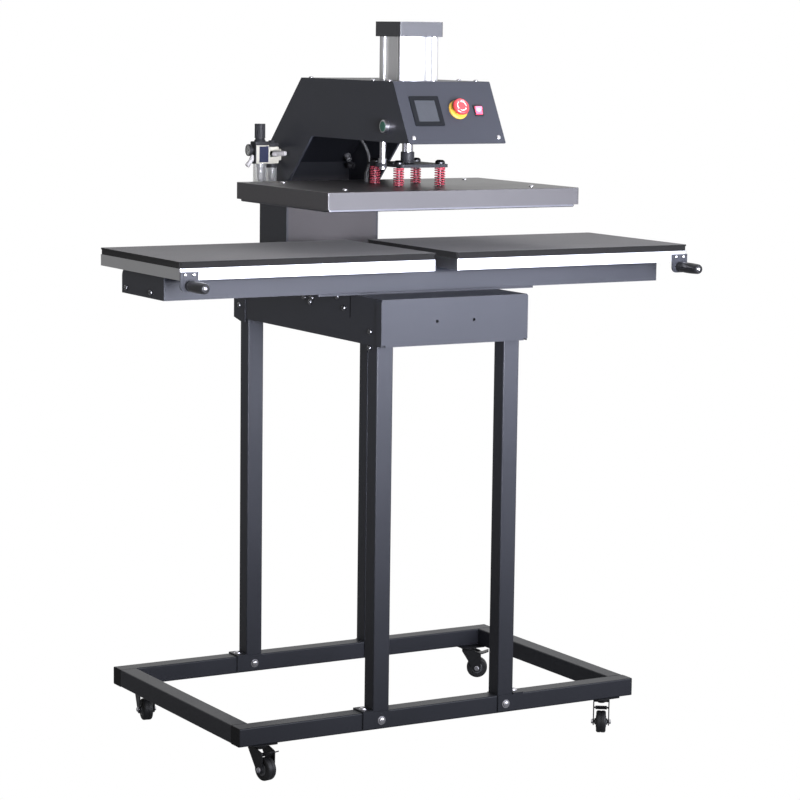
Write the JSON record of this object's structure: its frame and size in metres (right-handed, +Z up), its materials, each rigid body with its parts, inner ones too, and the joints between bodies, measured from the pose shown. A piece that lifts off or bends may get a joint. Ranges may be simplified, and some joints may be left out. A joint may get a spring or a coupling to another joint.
{
  "type": "pneumatic heat press",
  "caption": "Pneumatic heat press on a wheeled stand: an air cylinder lowers a sprung heated platen onto either of two padded tables that slide sideways on one carriage.",
  "frame": {"origin": "on the floor, under the middle of the bounding box with the carriage as pictured", "axes": "X along the tables' travel, to the right seen from the control panel; Y towards the column, to the back; Z up"},
  "size_m": [1.26, 0.751, 1.594],
  "materials": {
    "long_rails": "fine textured black powder coat",
    "side_rails": "fine textured black powder coat",
    "rail_end_caps": "moulded",
    "legs": "fine textured black powder coat",
    "foot_brackets": "fine textured black powder coat",
    "stand_bolts": "zinc plated",
    "caster_plates": "fine textured black powder coat",
    "lower_side_plates": "fine textured black powder coat",
    "front_apron": "fine textured black powder coat",
    "rear_apron": "fine textured black powder coat",
    "deck_plate": "fine textured black powder coat",
    "bed_plate": "fine textured black powder coat",
    "bearing_blocks": "ground steel",
    "left_side_plate": "fine textured black powder coat",
    "right_side_plate": "fine textured black powder coat",
    "column_covers": "fine textured black powder coat",
    "hood_top": "fine textured black powder coat",
    "control_panel": "fine textured black powder coat",
    "cylinder_mount_plate": "fine textured black powder coat",
    "cylinder_tube": "anodised, satin",
    "cylinder_caps": "black anodised",
    "display_unit": "dark glass in a black frame",
    "estop_collar": "yellow",
    "switch_frame": "moulded",
    "start_bezel": "chromed",
    "air_regulator": "die-cast and dark plastic",
    "regulator_bowls": "clear plastic",
    "carriage_channel": "fine textured black powder coat",
    "channel_end_caps": "fine textured black powder coat",
    "guide_rails": "ground steel",
    "tables": "milled",
    "table_pads": "grey silicone",
    "handle_brackets": "fine textured black powder coat",
    "handle_grips": "smooth",
    "cross_plate": "fine textured black powder coat",
    "piston_rod": "hard chrome",
    "rod_coupler": "black oxide",
    "guide_post": "hard chrome",
    "platen_cover": "fine textured black powder coat",
    "heating_plate": "milled",
    "shoulder_bolts": "black oxide",
    "pressure_springs": "red enamel",
    "heater_lead": "braided sleeve",
    "estop_stem": "moulded",
    "estop_head": "red",
    "switch_rocker": "translucent red",
    "start_button": "green",
    "regulator_knob": "ribbed",
    "front_left_caster_fork": "black",
    "front_left_caster_wheel": "black tyre on a grey hub",
    "front_left_brake_pedal": "black",
    "front_right_caster_fork": "black",
    "front_right_caster_wheel": "black tyre on a grey hub",
    "front_right_brake_pedal": "black",
    "rear_left_caster_fork": "black",
    "rear_left_caster_wheel": "black tyre on a grey hub",
    "rear_left_brake_pedal": "black",
    "rear_right_caster_fork": "black",
    "rear_right_caster_wheel": "black tyre on a grey hub",
    "rear_right_brake_pedal": "black"
  },
  "bodies": {
    "press_frame": {"long_rails": "long_rails", "side_rails": "side_rails", "rail_end_caps": "rail_end_caps", "legs": "legs", "foot_brackets": "foot_brackets", "stand_bolts": "stand_bolts", "caster_plates": "caster_plates", "lower_side_plates": "lower_side_plates", "front_apron": "front_apron", "rear_apron": "rear_apron", "deck_plate": "deck_plate", "bed_plate": "bed_plate", "bearing_blocks": "bearing_blocks", "left_side_plate": "left_side_plate", "right_side_plate": "right_side_plate", "column_covers": "column_covers", "hood_top": "hood_top", "control_panel": "control_panel", "cylinder_mount_plate": "cylinder_mount_plate", "cylinder_tube": "cylinder_tube", "cylinder_caps": "cylinder_caps", "display_unit": "display_unit", "estop_collar": "estop_collar", "switch_frame": "switch_frame", "start_bezel": "start_bezel", "air_regulator": "air_regulator", "regulator_bowls": "regulator_bowls"},
    "carriage": {"carriage_channel": "carriage_channel", "channel_end_caps": "channel_end_caps", "guide_rails": "guide_rails", "tables": "tables", "table_pads": "table_pads", "handle_brackets": "handle_brackets", "handle_grips": "handle_grips"},
    "press_head": {"cross_plate": "cross_plate", "piston_rod": "piston_rod", "rod_coupler": "rod_coupler", "guide_post": "guide_post"},
    "platen": {"platen_cover": "platen_cover", "heating_plate": "heating_plate", "shoulder_bolts": "shoulder_bolts", "pressure_springs": "pressure_springs", "heater_lead": "heater_lead"},
    "estop_stem": {"estop_stem": "estop_stem"},
    "estop_head": {"estop_head": "estop_head"},
    "power_rocker": {"switch_rocker": "switch_rocker"},
    "start_button": {"start_button": "start_button"},
    "regulator_knob": {"regulator_knob": "regulator_knob"},
    "front_left_fork": {"front_left_caster_fork": "front_left_caster_fork"},
    "front_left_wheel": {"front_left_caster_wheel": "front_left_caster_wheel"},
    "front_left_pedal": {"front_left_brake_pedal": "front_left_brake_pedal"},
    "front_right_fork": {"front_right_caster_fork": "front_right_caster_fork"},
    "front_right_wheel": {"front_right_caster_wheel": "front_right_caster_wheel"},
    "front_right_pedal": {"front_right_brake_pedal": "front_right_brake_pedal"},
    "rear_left_fork": {"rear_left_caster_fork": "rear_left_caster_fork"},
    "rear_left_wheel": {"rear_left_caster_wheel": "rear_left_caster_wheel"},
    "rear_left_pedal": {"rear_left_brake_pedal": "rear_left_brake_pedal"},
    "rear_right_fork": {"rear_right_caster_fork": "rear_right_caster_fork"},
    "rear_right_wheel": {"rear_right_caster_wheel": "rear_right_caster_wheel"},
    "rear_right_pedal": {"rear_right_brake_pedal": "rear_right_brake_pedal"}
  },
  "joints": [
    {"name": "carriage_slide", "type": "slide", "parent": "press_frame", "child": "carriage", "axis": [1, 0, 0], "range_m": [-0.314, 0.342]},
    {"name": "head_stroke", "type": "slide", "parent": "press_frame", "child": "press_head", "axis": [0, 0, -1], "range_m": [0, 0.0915]},
    {"name": "platen_float", "type": "slide", "parent": "press_head", "child": "platen", "axis": [0, 0, 1], "range_m": [0, 0.006], "stiffness_N_per_m": 50000, "springref_m": -0.003, "deforming": ["pressure_springs"]},
    {"name": "estop_press", "type": "slide", "parent": "press_frame", "child": "estop_stem", "axis": [0, 0.8761, -0.4822], "range_m": [0, 0.004]},
    {"name": "estop_twist", "type": "hinge", "parent": "estop_stem", "child": "estop_head", "pos_m": [0.0353, -0.27411, 1.40876], "axis": [0, -0.8761, 0.4822], "range_deg": [0, 45], "stiffness_Nm_per_rad": 0.05},
    {"name": "power_rocker_tilt", "type": "hinge", "parent": "press_frame", "child": "power_rocker", "pos_m": [0.086, -0.27507, 1.407], "axis": [-1, 0, 0], "range_deg": [0, 18]},
    {"name": "start_press", "type": "slide", "parent": "press_frame", "child": "start_button", "axis": [1, 0, 0], "range_m": [0, 0.003], "stiffness_N_per_m": 400, "springref_m": -0.002},
    {"name": "regulator_turn", "type": "hinge", "parent": "press_frame", "child": "regulator_knob", "pos_m": [-0.156, 0.2735, 1.34], "axis": [0, 0, 1], "range_deg": [0, 720]},
    {"name": "front_left_swivel", "type": "hinge", "parent": "press_frame", "child": "front_left_fork", "pos_m": [-0.424, -0.2595, 0.068], "axis": [0, 0, 1], "continuous": true},
    {"name": "front_left_roll", "type": "hinge", "parent": "front_left_fork", "child": "front_left_wheel", "pos_m": [-0.41943, -0.28102, 0.025], "axis": [0.9781, 0.2079, 0], "continuous": true},
    {"name": "front_left_brake", "type": "hinge", "parent": "front_left_fork", "child": "front_left_pedal", "pos_m": [-0.4188, -0.28395, 0.058], "axis": [0.9781, 0.2079, 0], "range_deg": [0, 15]},
    {"name": "front_right_swivel", "type": "hinge", "parent": "press_frame", "child": "front_right_fork", "pos_m": [0.452, -0.2595, 0.068], "axis": [0, 0, 1], "continuous": true},
    {"name": "front_right_roll", "type": "hinge", "parent": "front_right_fork", "child": "front_right_wheel", "pos_m": [0.43938, -0.27752, 0.025], "axis": [0.8192, -0.5736, 0], "continuous": true},
    {"name": "front_right_brake", "type": "hinge", "parent": "front_right_fork", "child": "front_right_pedal", "pos_m": [0.43766, -0.27998, 0.058], "axis": [0.8192, -0.5736, 0], "range_deg": [0, 15]},
    {"name": "rear_left_swivel", "type": "hinge", "parent": "press_frame", "child": "rear_left_fork", "pos_m": [-0.424, 0.3205, 0.068], "axis": [0, 0, 1], "continuous": true},
    {"name": "rear_left_roll", "type": "hinge", "parent": "rear_left_fork", "child": "rear_left_wheel", "pos_m": [-0.42782, 0.29883, 0.025], "axis": [0.9848, -0.1736, 0], "continuous": true},
    {"name": "rear_left_brake", "type": "hinge", "parent": "rear_left_fork", "child": "rear_left_pedal", "pos_m": [-0.42834, 0.29588, 0.058], "axis": [0.9848, -0.1736, 0], "range_deg": [0, 15]},
    {"name": "rear_right_swivel", "type": "hinge", "parent": "press_frame", "child": "rear_right_fork", "pos_m": [0.452, 0.3205, 0.068], "axis": [0, 0, 1], "continuous": true},
    {"name": "rear_right_roll", "type": "hinge", "parent": "rear_right_fork", "child": "rear_right_wheel", "pos_m": [0.47066, 0.30884, 0.025], "axis": [0.5299, 0.848, 0], "continuous": true},
    {"name": "rear_right_brake", "type": "hinge", "parent": "rear_right_fork", "child": "rear_right_pedal", "pos_m": [0.4732, 0.30725, 0.058], "axis": [0.5299, 0.848, 0], "range_deg": [0, 15]}
  ]
}
